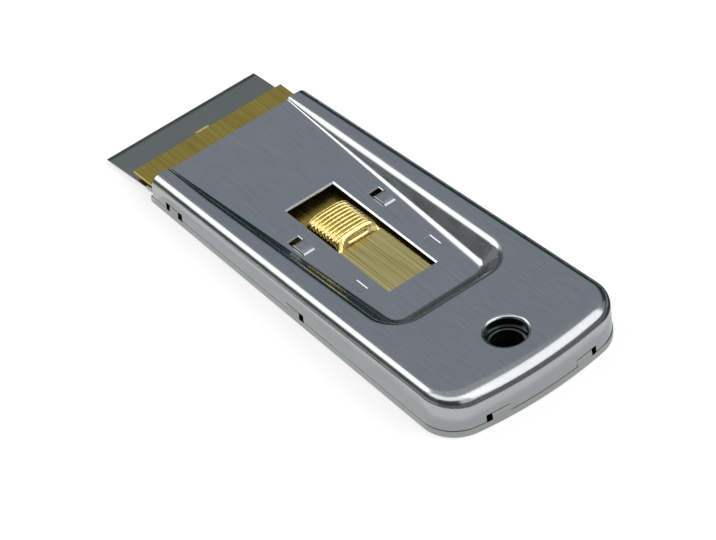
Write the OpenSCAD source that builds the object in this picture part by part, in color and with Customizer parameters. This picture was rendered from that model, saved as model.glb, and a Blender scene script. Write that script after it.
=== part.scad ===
// Pocket razor blade scraper: two stamped steel case halves, a brass slide that carries a
// single-edge blade, and a ribbed brass thumb leaf that stands in a slot of the sunk thumb panel.
// Lengths in millimetres. The blade points along +X, +Z is up, and the case lies on its flat base.

/* [Blade] */
// Width of the blade, along its edge
blade_w = 38.1; // [36:0.1:46]
// Depth of the blade, from its edge to its back
blade_d = 19; // [15:0.1:26]
// Thickness of the blade
blade_t = 0.23; // [0.15:0.01:0.4]
// Width of the ground bevel at the edge
bevel_d = 1.1; // [0.6:0.1:1.8]
// Depth of the folded spine
spine_d = 5.5; // [3.5:0.1:7]
// Sheet thickness of the spine
spine_t = 0.35; // [0.2:0.01:0.4]
// How far the blade's back sits inside the case when slid out
blade_inset = 2.9; // [1.5:0.1:4]
// Height of the edge above the resting face
edge_z = 0.8; // [0.75:0.01:1.2]
// Sideways play taken up by the blade in its jaw
blade_shift = 0.2; // [-0.25:0.05:0.25]

/* [Case] */
// Sheet thickness of both case halves
sheet = 0.5; // [0.35:0.01:0.55]
// Gap between the blade's end and the case wall
side_gap = 0.5; // [0.3:0.05:1]
// Length of the case, front edge to the middle of the bowed back
case_len = 97.8; // [96:0.1:130]
// Height of the case at its front edge
front_h = 6.65; // [6.45:0.05:7.2]
// Height of the case at its back
back_h = 10.25; // [9.8:0.05:12]
// Radius of the rolled top edge
roll_r = 2.3; // [1.6:0.1:2.6]
// Radius of the rolled edge along the back
back_roll_r = 3.4; // [2.4:0.1:4]
// How much each side flares out from the front to the back
flare = 2.7; // [1:0.1:4]
// Radius of the back corners in plan
corner_r = 8.2; // [6:0.1:11]
// How far the back edge bows out
back_bow = 1.2; // [0.4:0.1:2]
// Height of the base's upturned rim
rim_h = 1.75; // [1:0.05:2]
// How far the rim stands proud of the cover
rim_proud = 0.15; // [0:0.05:0.4]
// How far the cover's front edge sits behind the base's
mouth_set = 0.7; // [0:0.1:1.5]

/* [Thumb panel] */
// Height of the sunk panel's front edge above the resting face
panel_z = 6.2; // [6.1:0.05:6.35]
// How far the panel dips from its front edge to its back
panel_dip = 1.2; // [0.8:0.05:1.3]
// Half width of the panel's recess at the top face
panel_half_w = 15.5; // [14.5:0.1:16]
// Distance from the recess's back edge to the middle of the hang hole
panel_land = 15.4; // [14:0.1:17]
// Corner radius of the recess at its floor
panel_r = 3.2; // [2:0.1:4.5]
// Width of the slot for the thumb piece
slot_w = 12.45; // [11.8:0.05:13]
// Length of panel left behind the slot
slot_land = 8.35; // [7.5:0.05:10]

/* [Tabs and marks] */
// Distance of the lanced tabs' root behind the slot's front
tab_lead = 13; // [11:0.1:14]
// Length of each lanced hole
tab_hole_len = 5.6; // [4.5:0.1:6.5]
// Width of each lanced hole
tab_hole_w = 2.9; // [2.2:0.1:3.3]
// Distance of the tabs from the middle
tab_y = 10.3; // [9.6:0.05:10.8]
// How far the tab's end hangs under the panel
tab_drop = 1.25; // [0.8:0.05:1.35]
// Distance of the coined marks behind the slot's front
mark_lead = 27.1; // [24:0.1:29]
// Distance of the coined marks from the middle
mark_y = 9.3; // [8.6:0.05:9.9]
// Length of a coined mark
mark_len = 3.4; // [2:0.1:4]
// Width of a coined mark
mark_w = 1.7; // [1:0.1:2]
// Depth of a coined mark
mark_depth = 0.2; // [0.1:0.05:0.25]
// Width of a crimp tab on the base
crimp_w = 2.8; // [1.5:0.1:3.5]
// Height of a crimp tab above the rim
crimp_h = 1.6; // [0.8:0.1:1.9]
// Open gap at each side of a crimp tab
crimp_gap = 1.3; // [0.6:0.1:2]

/* [Hang hole] */
// Distance of the hang hole from the back edge
hole_back = 10.9; // [9.5:0.1:12]
// Radius of the opening in the cover
hole_r = 4.2; // [3.6:0.05:4.6]
// Radius of the drawn lip round the opening
lip_r = 0.85; // [0.4:0.05:1]
// Height of the base's collar inside the hole
collar_h = 7.5; // [5:0.1:9]

/* [Slide] */
// Sheet thickness of the brass carrier
carrier_t = 0.5; // [0.4:0.01:0.55]
// Height of the carrier's underside above the resting face
carrier_z = 2.8; // [2.75:0.01:2.85]
// How far the brass strip stands ahead of the case when slid out
strip_reach = 7; // [6:0.1:8.5]
// How far the carrier reaches behind the slot when slid out
carrier_tail = 6.3; // [6.1:0.1:6.8]
// Width of the spring finger on the strip's front edge
finger_w = 3; // [2:0.1:5]
// Place of the spring finger off the middle
finger_y = 0.9; // [-4:0.1:4]
// How far the spring finger reaches ahead of the strip
finger_len = 1; // [0.6:0.1:1.5]
// Sheet thickness of the lower jaw
jaw_t = 0.4; // [0.3:0.01:0.45]
// Length of the jaw's pad under the carrier
jaw_pad_len = 5.6; // [4.5:0.1:8]
// Radius of a rivet's shank
rivet_r = 0.9; // [0.6:0.05:1.1]
// Radius of a rivet's head
rivet_head_r = 1.7; // [1.3:0.05:1.9]
// Height of a rivet's head
rivet_head_h = 0.3; // [0.2:0.05:0.35]
// Distance of the jaw rivets from the middle
jaw_rivet_y = 12; // [8:0.5:15]
// Distance of the leaf rivets from the middle
leaf_rivet_y = 2.7; // [2.4:0.1:3]

/* [Thumb leaf] */
// Sheet thickness of the leaf
leaf_t = 0.5; // [0.35:0.01:0.55]
// Width of the leaf
leaf_w = 10.7; // [9.8:0.1:11.2]
// Rise of the leaf's flat above its riveted root
leaf_lift = 0.55; // [0.3:0.05:0.6]
// Length of the slot left open ahead of the hump
hump_lead = 5.5; // [4:0.1:6.5]
// Length of the ribbed hump
hump_len = 11.1; // [9:0.1:12]
// Rise of the hump above the leaf
hump_rise = 2.6; // [2:0.05:3.2]
// Run of the hump's sloping ends
hump_ramp = 1.5; // [1:0.1:2]
// Number of ribs across the hump
rib_count = 8; // [4:1:10]
// Height of a rib
rib_h = 0.35; // [0.2:0.05:0.5]

/* [Hidden] */

// Clearances
over = 1;
seam_gap = 0.1;
guide_gap = 0.55;
runner_gap = 0.25;
stop_gap = 0.15;
spine_fit = 0.03;
jaw_fit = 0.05;
finger_gap = 0.15;
rivet_fit = 0.03;
leaf_seat_gap = 0.05;
leaf_hole_gap = 0.15;
leaf_head_gap = 0.2;
collar_gap = 0.25;
tab_gap = 0.15;
crimp_top_gap = 0.1;
cutout_gap = 0.5;
spine_seat_gap = 0.135;

// Smoothness of round pieces and of the rounded shell
round_fn = 64;
roll_fn = 24;
corner_steps = 10;
bow_steps = 8;
lip_steps = 6;

// A quarter of a turn, in degrees
quarter_turn = 90;

// Case sizes that follow from the blade
blade_reach = blade_d - blade_inset;
inner_half = blade_w / 2 + side_gap;
case_half = inner_half + sheet;
rim_half = case_half + rim_proud;
slope = (back_h - front_h) / case_len;
seam_z = rim_h + seam_gap;
flare_angle = atan(flare / case_len);

// Middles of the back corner arcs, and the wide arc of the back edge that meets them smoothly
corner_x = corner_r + back_bow - case_len;
corner_y = rim_half - corner_x * tan(flare_angle) - corner_r / cos(flare_angle);
bow_r = corner_r + (corner_y * corner_y + back_bow * back_bow) / (2 * back_bow);
bow_angle = asin(corner_y / (bow_r - corner_r));

// Heights of the slide: the leaf's root lies on the carrier and its flat is lifted by a joggle
carrier_top = carrier_z + carrier_t;
root_z = carrier_top + leaf_seat_gap;
leaf_top = root_z + leaf_t + leaf_lift;
leaf_joggle = 1;

// Lean of the recess walls, as a share of their depth
wall_lean_share = 1.05;
wall_skin = sheet * sqrt(1 + wall_lean_share * wall_lean_share);

// Length of a lanced tab, as a share of its hole
tab_reach_share = 0.75;

// Hang hole, panel and slot along the case, set out from its back (places behind the front are
// negative X); the slot is as long as the hump, its lead and its travel need
hole_x = case_len - hole_back;
panel_back = hole_x - panel_land;
panel_tilt = atan(panel_dip / panel_back);
panel_floor_back = panel_back - wall_lean_share * panel_depth(-panel_back);
slide_travel = blade_reach;
slot_back_x = slot_land - panel_floor_back;
slot_under = panel_z + slot_back_x * tan(panel_tilt) - sheet;
stop_run = hump_ramp * (slot_under - leaf_top + leaf_t) / (hump_rise + leaf_t - rib_h);
hump_back_x = slot_back_x - stop_run + slide_travel + stop_gap;
hump_front_x = hump_back_x + hump_len;
slot_front = -hump_front_x - hump_lead;
tab_root = slot_front + tab_lead;
mark_x = slot_front + mark_lead;

// Carrier and leaf; the runners take a share of the carrier's length inside the case
carrier_back = carrier_tail - slot_back_x;
runner_share = 0.78;
runner_len = runner_share * carrier_back;
root_x = slot_back_x - leaf_t - leaf_joggle;
leaf_back_x = -carrier_back + leaf_t;
leaf_rivet_x = (root_x + leaf_back_x) / 2;
carrier_half = inner_half - guide_gap;
crown_z = leaf_top + hump_rise;
hump_r = (leaf_w * leaf_w / 4 + hump_rise * hump_rise) / (2 * hump_rise);

// Blade, spine and jaw, measured back from the edge along the blade, which tilts edge down so that
// its spine lies under the carrier
spine_front = blade_d - spine_d;
spine_half = blade_t / 2 + spine_fit + spine_t;
spine_back = blade_d + spine_fit + spine_t;
blade_pitch = asin((carrier_z - spine_seat_gap - spine_half - edge_z) / spine_back);
jaw_top = -spine_half - jaw_fit;
jaw_half = carrier_half - guide_gap;
jaw_step_x = blade_reach - (spine_back + jaw_fit) * cos(blade_pitch) - jaw_t;
jaw_step_run = 1.8;
jaw_back_x = jaw_step_x - jaw_step_run - jaw_pad_len;
jaw_rivet_x = jaw_back_x + jaw_pad_len / 2;
jaw_lip = 0.5;

// Crimps: places along the sides as shares of the case length, and across the back of the rim
side_crimp_shares = [0.081, 0.49];
back_crimp_share = 0.55;

// The object's box is centred on the origin in X
mid_x = (blade_reach - case_len) / 2;

// Height of the cover's top face at x
function top_z(x) = front_h - slope * x;

// Depth of the tilted panel under the top face at x, and the half width of the rim there
function panel_depth(x) = front_h - panel_z - (slope + tan(panel_tilt)) * x;
function half_at(x) = rim_half - x * tan(flare_angle);

// Height above the resting face of a point s back from the edge and h off the blade's middle
function blade_z(s, h) = edge_z + s * sin(blade_pitch) + h * cos(blade_pitch);
function blade_x(s, h) = blade_reach - s * cos(blade_pitch) + h * sin(blade_pitch);

// Stations round the case plan, from the front left round the back: the middle of each one's arc, the
// arc's radius, the way it faces, and the radius of the rolled edge there
function corner_station(turn) =
    [corner_x, corner_y, corner_r, turn,
     roll_r + (back_roll_r - roll_r) * pow(sin(turn - quarter_turn), 2)];
function left_stations() =
    let (first = quarter_turn - flare_angle, last = 2 * quarter_turn - bow_angle)
    concat([[over, half_at(over), 0, first, roll_r]],
           [for (i = [0 : corner_steps]) corner_station(first + (last - first) * i / corner_steps)]);
function stations() =
    let (left = left_stations(), count = len(left))
    concat(left,
           [for (i = [1 : bow_steps - 1]) let (turn = 2 * quarter_turn - bow_angle * (1 - 2 * i / bow_steps))
               [bow_r - case_len, 0, bow_r, turn, back_roll_r]],
           [for (i = [1 : count]) let (s = left[count - i]) [s[0], -s[1], s[2], -s[3], s[4]]]);

// Place of a station, drawn in from the rim by inset
function drawn_in(s, inset) =
    [s[0] + (s[2] - inset) * cos(s[3]), s[1] + (s[2] - inset) * sin(s[3])];

module at_origin() {
    translate([-mid_x, 0, 0]) children();
}

// Turns what is drawn on the level panel down to the panel's tilt, about its front edge
module on_panel() {
    translate([0, 0, panel_z]) rotate([0, -panel_tilt, 0]) children();
}

// Flat plan of the case, drawn in from the rim by inset; it runs on past the front edge
module plan(inset) {
    polygon([for (s = stations()) drawn_in(s, inset)]);
}

// Solid wedge of the cover: rolled top edge, straight walls, drawn in from its outside by inset
module wedge(inset, foot_z) {
    hull() {
        for (s = stations()) {
            p = drawn_in(s, rim_proud + s[4]);
            translate([p[0], p[1], top_z(p[0]) - s[4]]) sphere(s[4] - inset, $fn = roll_fn);
        }
        translate([0, 0, foot_z]) linear_extrude(sheet) plan(rim_proud + inset);
    }
}

// Outline of the recess at height z above its floor, grown by skin
module recess_level(z, skin, front) {
    back = -panel_back + wall_lean_share * (panel_depth(-panel_back) - z) - skin;
    r = panel_r + skin;
    function half(x) = panel_half_w - wall_lean_share * (panel_depth(x) - z) + skin;
    translate([0, 0, z]) linear_extrude(sheet / 10) {
        for (side = [-1, 1]) {
            translate([back + r, side * (half(back + r) - r)]) circle(r, $fn = 32);
            translate([front, side * half(front)]) circle(sheet / 10, $fn = 16);
        }
    }
}

// Space of the sunk panel, from its floor up through the sloping top face
module recess(floor_z, skin, front) {
    on_panel() hull() {
        recess_level(floor_z, skin, front);
        recess_level(panel_depth(-case_len), skin, front);
    }
}

// A flat sheet with a bent side view, drawn from points of its outline in X and Z
module bent_sheet(points, width) {
    translate([0, width / 2, 0]) rotate([90, 0, 0]) linear_extrude(width) polygon(points);
}

// Blocks where the base is crimped to the cover: through the wall, and past it by spill
module crimps(width, z0, height, spill) {
    wall = rim_half - inner_half;
    depth = wall + 2 * spill;
    for (share = side_crimp_shares, side = [-1, 1]) {
        mid_y = half_at(-share * case_len) - wall / 2;
        translate([-share * case_len - width / 2, side * mid_y - depth / 2, z0])
            cube([width, depth, height]);
    }
    for (side = [-1, 1])
        translate([-case_len - over, side * back_crimp_share * rim_half - width / 2, z0])
            cube([over + back_bow + 3 * sheet, width, height]);
}

module top_shell() {
    color("silver") at_origin() {
        difference() {
            union() {
                difference() {
                    wedge(0, seam_z);
                    wedge(sheet, -over);
                }
                intersection() {
                    wedge(0, seam_z);
                    union() {
                        recess(-sheet, wall_skin, over);
                        translate([-hole_x, 0, seam_z])
                            cylinder(r = hole_r + sheet, h = back_h, $fn = round_fn);
                    }
                }
            }
            // Open mouth, with the sheet cut flush a little behind the base's front edge
            translate([-mouth_set, -case_half - over, -over])
                cube([mouth_set + roll_r + 2 * over, 2 * (case_half + over), back_h + 2 * over]);
            recess(0, 0, 2 * over);
            translate([slot_back_x, -slot_w / 2, 0]) cube([-slot_front - slot_back_x, slot_w, back_h]);
            lance_holes();
            on_panel() for (side = [-1, 1])
                translate([-mark_x - mark_len / 2, side * mark_y - mark_w / 2, -mark_depth])
                    cube([mark_len, mark_w, mark_depth + over]);
            translate([-hole_x, 0, 0]) rotate_extrude($fn = round_fn) polygon(hole_outline());
            crimps(crimp_w + 2 * crimp_gap, seam_z - over, crimp_h + over, sheet);
        }
        lance_tabs();
    }
}

// Half section of the hang hole: straight wall, rounded lip, and a flare past the sloping face
function hole_outline() =
    let (turn = 75, lip_z = top_z(-hole_x), flare = 3 * lip_r,
         end_r = hole_r + lip_r * (1 - cos(turn)), end_z = lip_z - lip_r * (1 - sin(turn)))
    concat([[0, -over], [hole_r, -over]],
           [for (i = [0 : lip_steps]) let (a = turn * i / lip_steps)
               [hole_r + lip_r * (1 - cos(a)), lip_z - lip_r * (1 - sin(a))]],
           [[end_r + flare * sin(turn), end_z + flare * cos(turn)], [0, end_z + flare * cos(turn)]]);

// Square holes of the lanced tabs
module lance_holes() {
    for (side = [-1, 1])
        translate([-tab_root, side * tab_y - tab_hole_w / 2, 0])
            cube([tab_hole_len, tab_hole_w, panel_z]);
}

// Tabs bent down out of those holes, rooted at the back
module lance_tabs() {
    free_x = -tab_root + tab_hole_len * tab_reach_share;
    on_panel() for (side = [-1, 1])
        translate([0, side * tab_y, 0])
            bent_sheet([[-tab_root - sheet, 0], [-tab_root - sheet, -sheet], [-tab_root, -sheet],
                        [free_x, -sheet - tab_drop], [free_x, -tab_drop], [-tab_root, 0]],
                       tab_hole_w - 2 * tab_gap);
}

module bottom_shell() {
    color("gainsboro") at_origin() difference() {
        union() {
            difference() {
                linear_extrude(rim_h) plan(0);
                translate([0, 0, sheet]) linear_extrude(rim_h) plan(sheet);
                translate([0, -rim_half, -over]) cube([2 * over, 2 * rim_half, rim_h + 2 * over]);
            }
            intersection() {
                crimps(crimp_w, 0, rim_h + crimp_h - crimp_top_gap, 0);
                linear_extrude(back_h)
                    difference() {
                        plan(0);
                        plan(rim_half - inner_half);
                    }
            }
            translate([-hole_x, 0, 0]) cylinder(r = hole_r - collar_gap, h = collar_h, $fn = round_fn);
        }
        translate([-hole_x, 0, -over])
            cylinder(r = hole_r - collar_gap - sheet, h = collar_h + 2 * over, $fn = round_fn);
    }
}

module blade_carrier() {
    runner_front_x = -carrier_back + runner_len;
    cut_front_x = hump_front_x + cutout_gap;
    cut_half = leaf_w / 2 + cutout_gap;
    color("goldenrod") at_origin() difference() {
        union() {
            translate([-carrier_back, -carrier_half, carrier_z])
                cube([carrier_back + strip_reach, 2 * carrier_half, carrier_t]);
            for (side = [-1, 1])
                translate([-carrier_back, side > 0 ? carrier_half - carrier_t : -carrier_half,
                           sheet + runner_gap])
                    cube([runner_len, carrier_t, carrier_z - sheet - runner_gap]);
            translate([0, finger_y, 0]) spring_finger();
        }
        // Opening under the leaf, so that it can bend down
        translate([root_x, -cut_half, 0]) cube([cut_front_x - root_x, 2 * cut_half, panel_z]);
        for (side = [-1, 1]) {
            translate([jaw_rivet_x, side * jaw_rivet_y, 0])
                cylinder(r = rivet_r + rivet_fit, h = panel_z, $fn = round_fn);
            translate([leaf_rivet_x, side * leaf_rivet_y, 0])
                cylinder(r = rivet_r + rivet_fit, h = panel_z, $fn = round_fn);
        }
    }
}

// Finger at the strip's front edge that bends down towards the blade
module spring_finger() {
    tip_x = strip_reach + finger_len;
    tip_z = edge_z + (blade_reach - tip_x) * tan(blade_pitch) + blade_t / 2 + finger_gap;
    bent_sheet([[strip_reach - carrier_t, carrier_z], [strip_reach - carrier_t, carrier_top],
                [strip_reach, carrier_top], [tip_x, carrier_z], [tip_x, tip_z],
                [tip_x - carrier_t, tip_z], [tip_x - carrier_t, carrier_z]], finger_w);
}

module thumb_leaf() {
    joggle_x = root_x + leaf_joggle;
    color("gold") at_origin() {
        difference() {
            bent_sheet([[leaf_back_x, root_z], [root_x, root_z], [joggle_x, leaf_top - leaf_t],
                        [hump_back_x + leaf_t, leaf_top - leaf_t], [hump_back_x + leaf_t, leaf_top],
                        [joggle_x, leaf_top], [root_x, root_z + leaf_t],
                        [leaf_back_x, root_z + leaf_t]], leaf_w);
            for (side = [-1, 1])
                translate([leaf_rivet_x, side * leaf_rivet_y, 0])
                    cylinder(r = rivet_r + leaf_hole_gap, h = panel_z, $fn = round_fn);
        }
        intersection() {
            translate([0, 0, crown_z - hump_r]) rotate([0, 90, 0])
                rotate_extrude($fn = 2 * round_fn) polygon(hump_outline());
            translate([hump_back_x, -leaf_w / 2, leaf_top - leaf_t])
                cube([hump_len, leaf_w, hump_rise + leaf_t]);
        }
    }
}

// Side view of the hollow hump as radius and X: front slope, ribs, back slope, then the inside
function hump_outline() =
    let (foot = hump_r - hump_rise - leaf_t, valley = hump_r - rib_h,
         ribs_x = hump_back_x + hump_ramp, pitch = (hump_len - 2 * hump_ramp) / rib_count,
         rib_flank_share = 0.2, rib_crest_share = 0.35)
    concat([[foot, hump_back_x]],
           [for (i = [0 : rib_count - 1], q = [[0, 0], [rib_flank_share, rib_crest_share],
                                               [0.5, 1], [1 - rib_flank_share, rib_crest_share]])
               [valley + rib_h * q[1], ribs_x + pitch * (i + q[0])]],
           [[valley, hump_front_x - hump_ramp], [foot, hump_front_x],
            [foot, hump_front_x - leaf_t],
            [valley - leaf_t, hump_front_x - hump_ramp - leaf_t / 2],
            [valley - leaf_t, ribs_x + leaf_t / 2], [foot, hump_back_x + leaf_t]]);

module razor_blade() {
    color("slategray") at_origin() translate([0, blade_shift, 0])
        bent_sheet([for (q = [[0, 0], [bevel_d, blade_t / 2], [blade_d, blade_t / 2],
                              [blade_d, -blade_t / 2], [bevel_d, -blade_t / 2]])
                       [blade_x(q[0], q[1]), blade_z(q[0], q[1])]], blade_w);
}

module blade_spine() {
    inner = blade_t / 2 + spine_fit;
    color("lightgray") at_origin() translate([0, blade_shift, 0])
        bent_sheet([for (q = [[spine_front, inner], [spine_front, spine_half], [spine_back, spine_half],
                              [spine_back, -spine_half], [spine_front, -spine_half],
                              [spine_front, -inner], [blade_d + spine_fit, -inner],
                              [blade_d + spine_fit, inner]])
                       [blade_x(q[0], q[1]), blade_z(q[0], q[1])]], blade_w);
}

module lower_jaw() {
    lip_back = spine_front - jaw_fit;
    lip_front = lip_back - jaw_lip;
    lip_top = -blade_t / 2 - jaw_fit;
    heel = spine_back + jaw_fit;
    function at(s, h) = [blade_x(s, h), blade_z(s, h)];
    color("goldenrod") at_origin() difference() {
        bent_sheet([at(lip_front, jaw_top - jaw_t), at(lip_front, lip_top), at(lip_back, lip_top),
                    at(lip_back, jaw_top), at(heel, jaw_top), [jaw_step_x - jaw_step_run, carrier_z],
                    [jaw_back_x, carrier_z], [jaw_back_x, carrier_z - jaw_t],
                    [jaw_step_x - jaw_step_run, carrier_z - jaw_t], at(heel, jaw_top - jaw_t)],
                   2 * jaw_half);
        for (side = [-1, 1])
            translate([jaw_rivet_x, side * jaw_rivet_y, 0])
                cylinder(r = rivet_r + rivet_fit, h = panel_z, $fn = round_fn);
    }
}

// A rivet with its head above top and its closed end below under
module rivet(top, under) {
    translate([0, 0, under]) cylinder(r = rivet_r, h = top - under, $fn = round_fn);
    translate([0, 0, top]) cylinder(r = rivet_head_r, h = rivet_head_h, $fn = round_fn);
    translate([0, 0, under - rivet_head_h]) cylinder(r = rivet_head_r, h = rivet_head_h, $fn = round_fn);
}

module jaw_rivets() {
    color("darkgoldenrod") at_origin() for (side = [-1, 1])
        translate([jaw_rivet_x, side * jaw_rivet_y, 0]) rivet(carrier_top, carrier_z - jaw_t);
}

module leaf_rivets() {
    color("darkgoldenrod") at_origin() for (side = [-1, 1])
        translate([leaf_rivet_x, side * leaf_rivet_y, 0])
            rivet(root_z + leaf_t + leaf_head_gap, carrier_z);
}

top_shell();
bottom_shell();
blade_carrier();
thumb_leaf();
razor_blade();
blade_spine();
lower_jaw();
jaw_rivets();
leaf_rivets();
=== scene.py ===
# %% [markdown]
# # A pocket razor blade scraper
# Two stamped steel halves make a flat wedge-shaped case. A brass slide inside it carries a
# single-edge blade, and a ribbed brass hump stands up through a slot for the thumb.
# Lengths are thought of in millimetres here, as on a drawing, and become metres once, when a mesh
# is made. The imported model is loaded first, because every piece has to fit it.

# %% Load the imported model
import math

import bmesh
import bpy
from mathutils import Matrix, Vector
from mathutils.geometry import delaunay_2d_cdt


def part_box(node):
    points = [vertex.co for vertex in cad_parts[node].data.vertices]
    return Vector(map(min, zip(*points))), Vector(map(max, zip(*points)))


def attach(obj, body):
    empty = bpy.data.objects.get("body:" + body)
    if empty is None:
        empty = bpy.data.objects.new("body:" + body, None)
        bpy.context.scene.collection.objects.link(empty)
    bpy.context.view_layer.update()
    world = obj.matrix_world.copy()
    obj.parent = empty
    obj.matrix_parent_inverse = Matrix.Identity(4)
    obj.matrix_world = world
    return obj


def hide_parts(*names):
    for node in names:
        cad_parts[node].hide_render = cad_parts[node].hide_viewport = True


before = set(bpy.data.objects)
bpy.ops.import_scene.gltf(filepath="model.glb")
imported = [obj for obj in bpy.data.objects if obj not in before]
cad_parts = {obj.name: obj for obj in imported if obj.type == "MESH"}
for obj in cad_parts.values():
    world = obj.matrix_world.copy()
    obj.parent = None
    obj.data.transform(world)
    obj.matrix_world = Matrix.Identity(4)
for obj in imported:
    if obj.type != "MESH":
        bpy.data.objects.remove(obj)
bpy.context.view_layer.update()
MM = 0.001
front_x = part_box("bottom_shell")[1][0]

# %% [markdown]
# ## Camera
# The photograph was taken from behind the tool, at its left and well above it, with a long lens.
# A longer lens flattens perspective, so the focal length matters as much as the angle.

# %% Camera
camera_place = (-0.60070, 0.41999, 0.66172)
camera_turn = (47.5405, 4.8091, -129.3191)


def add_object(name, data):
    """A new object in the scene, at the origin."""
    made = bpy.data.objects.new(name, data)
    bpy.context.scene.collection.objects.link(made)
    return made


camera = add_object("camera", bpy.data.cameras.new("camera"))
camera.data.sensor_width = 36
camera.data.sensor_fit = "HORIZONTAL"
camera.data.lens = 251.4
camera.location = camera_place
camera.rotation_euler = [math.radians(angle) for angle in camera_turn]
bpy.context.scene.camera = camera
bpy.context.scene.view_settings.view_transform = "Standard"
print("camera lens", round(camera.data.lens, 1), "mm")

# %% [markdown]
# ## Writing node maths as sums
# Node trees get hard to read when every sum is a node made by hand. One small class wraps an output
# socket and overloads the operators, so that `1 - mask * 0.5` adds the Math nodes by itself. The
# same class serves materials and geometry trees, because both use the same Math node.

# %% Node helpers
class Graph:
    """A node tree with one method that adds any node."""

    def __init__(self, tree):
        self.tree = tree

    def put(self, socket, value):
        """Links a term to a socket, or sets the socket to a plain value."""
        if isinstance(value, Term):
            self.tree.links.new(value.socket, socket)
        else:
            socket.default_value = value

    def node(self, kind, settings=None, inputs=None, out=0):
        """Adds a node and returns one of its outputs, if it has any."""
        made = self.tree.nodes.new(kind)
        for name, value in (settings or {}).items():
            setattr(made, name, value)
        for key, value in (inputs or {}).items():
            self.put(made.inputs[key], value)
        return Term(self, made.outputs[out]) if made.outputs else None

    def parts(self, vector):
        """The X, Y and Z of a vector."""
        first = self.node("ShaderNodeSeparateXYZ", None, {0: vector})
        return [Term(self, socket) for socket in first.socket.node.outputs]

    def mix(self, share, first, second):
        """A colour between first and second."""
        settings = {"data_type": "RGBA"}
        inputs = {0: share, 6: first, 7: second}
        return self.node("ShaderNodeMix", settings, inputs, out=2)


class Term:
    """An output socket that can be added, multiplied and shaped."""

    def __init__(self, graph, socket):
        self.graph = graph
        self.socket = socket

    def maths(self, operation, *others):
        inputs = dict(enumerate((self, *others)))
        return self.graph.node("ShaderNodeMath", {"operation": operation}, inputs)

    def turned(self, operation, first):
        inputs = {0: first, 1: self}
        return self.graph.node("ShaderNodeMath", {"operation": operation}, inputs)

    def __add__(self, other):
        return self.maths("ADD", other)

    def __sub__(self, other):
        return self.maths("SUBTRACT", other)

    def __mul__(self, other):
        return self.maths("MULTIPLY", other)

    def __truediv__(self, other):
        return self.maths("DIVIDE", other)

    def __rsub__(self, other):
        return self.turned("SUBTRACT", other)

    def __rtruediv__(self, other):
        return self.turned("DIVIDE", other)

    __radd__ = __add__
    __rmul__ = __mul__

    def clipped(self):
        """The value held between 0 and 1."""
        return self.maths("MAXIMUM", 0).maths("MINIMUM", 1)

    def step(self, low, high):
        """0 below low, 1 above high, and a smooth rise between them."""
        settings = {"interpolation_type": "SMOOTHSTEP"}
        inputs = {"Value": self, "From Min": low, "From Max": high}
        return self.graph.node("ShaderNodeMapRange", settings, inputs)


print("node helpers ready")

# %% [markdown]
# ## Floor, world and lamps
# Bright sheet metal has almost no colour of its own: it shows the room. So the room is built like a
# product photographer's table: a pale floor, a white surround, two soft lamps for the highlights,
# and cards that the metal can mirror. Grey cards stand where the flat faces look, and dark low ones
# give the rolled edges and the sunk panel their dark lines. Cards are seen only in reflections.

# %% Floor and world
FLOOR_HALF = 4.0
FLOOR_DROP = 0.00004
PAPER_TONE, PAPER_GLOW = 0.6, 0.64
SURROUND_SEEN, SURROUND_LIGHT = 1.0, 0.4


def seen_directly(graph):
    """1 for camera, mirror and see-through rays, 0 for the light that falls on things."""
    names = ("Is Camera Ray", "Is Glossy Ray", "Is Transmission Ray")
    rays = [graph.node("ShaderNodeLightPath", out=name) for name in names]
    return (rays[0] + rays[1] + rays[2]).maths("MINIMUM", 1)


def stage_object(name, points, faces):
    """A plain mesh that belongs to the stage."""
    mesh = bpy.data.meshes.new(name)
    mesh.from_pydata(points, [], faces)
    made = add_object(name, mesh)
    return made


def stage_plate(name, x_range, y_range, height):
    """A flat rectangle of the stage."""
    (x0, x1), (y0, y1) = x_range, y_range
    points = [(x0, y0, height), (x1, y0, height), (x1, y1, height), (x0, y1, height)]
    return stage_object(name, points, [(0, 1, 2, 3)])


floor = stage_plate("floor", (-FLOOR_HALF, FLOOR_HALF), (-FLOOR_HALF, FLOOR_HALF), -FLOOR_DROP)
paper = bpy.data.materials.new("pale_paper")
paper.use_nodes = True
paper.node_tree.nodes.clear()
graph = Graph(paper.node_tree)
matte = graph.node("ShaderNodeBsdfDiffuse", None, {"Color": (PAPER_TONE, PAPER_TONE, PAPER_TONE, 1)})
glow = graph.node("ShaderNodeEmission", None, {"Strength": seen_directly(graph) * PAPER_GLOW})
both = graph.node("ShaderNodeAddShader", None, {0: matte, 1: glow})
graph.node("ShaderNodeOutputMaterial", None, {"Surface": both})
floor.data.materials.append(paper)

world = bpy.data.worlds.new("studio")
world.use_nodes = True
graph = Graph(world.node_tree)
sky = world.node_tree.nodes["Background"]
graph.put(sky.inputs["Color"], (1, 1, 1, 1))
graph.put(sky.inputs["Strength"], seen_directly(graph) * (SURROUND_SEEN - SURROUND_LIGHT) + SURROUND_LIGHT)
bpy.context.scene.world = world
print("floor and white surround")

# %% Lamps
def sky_point(azimuth, height, distance):
    """A point seen from the object in that compass direction (0 is +X, 90 is +Y) and height."""
    a, h = math.radians(azimuth), math.radians(height)
    return Vector((math.cos(a) * math.cos(h), math.sin(a) * math.cos(h), math.sin(h))) * distance


def softbox(name, azimuth, height, distance, size, brightness):
    """A square lamp whose face shows that brightness in a mirror."""
    lamp = bpy.data.lights.new(name, "AREA")
    lamp.size = size
    lamp.energy = brightness * math.pi * size * size
    made = add_object(name, lamp)
    made.location = sky_point(azimuth, height, distance)
    made.rotation_euler = made.location.to_track_quat("Z", "Y").to_euler()


softbox("lamp_left", azimuth=24, height=41, distance=1.6, size=0.84, brightness=2.0)
softbox("lamp_back", azimuth=216, height=38, distance=1.5, size=1.3, brightness=1.75)
print("2 soft lamps")

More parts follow.
